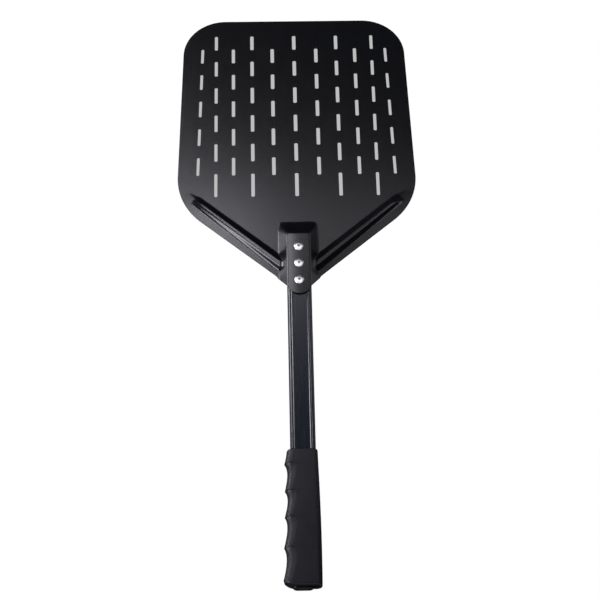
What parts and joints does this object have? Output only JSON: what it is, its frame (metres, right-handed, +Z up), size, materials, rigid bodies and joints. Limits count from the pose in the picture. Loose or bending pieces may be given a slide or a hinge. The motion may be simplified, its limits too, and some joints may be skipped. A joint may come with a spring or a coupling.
{
  "type": "pizza peel",
  "caption": "Perforated metal pizza peel: pressed blade with slots and ribs, riveted to a hollow handle tube with a finger grip and an end plug.",
  "frame": {"origin": "centre of the blade's straight sides, on the blade's underside", "axes": "+Y from the handle towards the blade's tip, +Z up out of the working face, +X to the right when holding the handle"},
  "size_m": [0.3048, 0.8002, 0.0207],
  "materials": {
    "blade_anodised": "matte black hard anodised, fine bead-blasted grain",
    "tube_anodised": "satin black anodised extrusion with lengthwise drawing marks",
    "rivet_metal": "bright polished aluminium",
    "mandrel_steel": "zinc-plated steel, snapped off inside the rivet",
    "grip_rubber": "matte black moulded rubber",
    "plug_plastic": "satin black moulded plastic"
  },
  "bodies": {
    "root": {"blade": "blade_anodised", "handle_tube": "tube_anodised", "rivet_bodies": "rivet_metal", "rivet_mandrels": "mandrel_steel", "grip": "grip_rubber", "end_plug": "plug_plastic"}
  },
  "joints": []
}
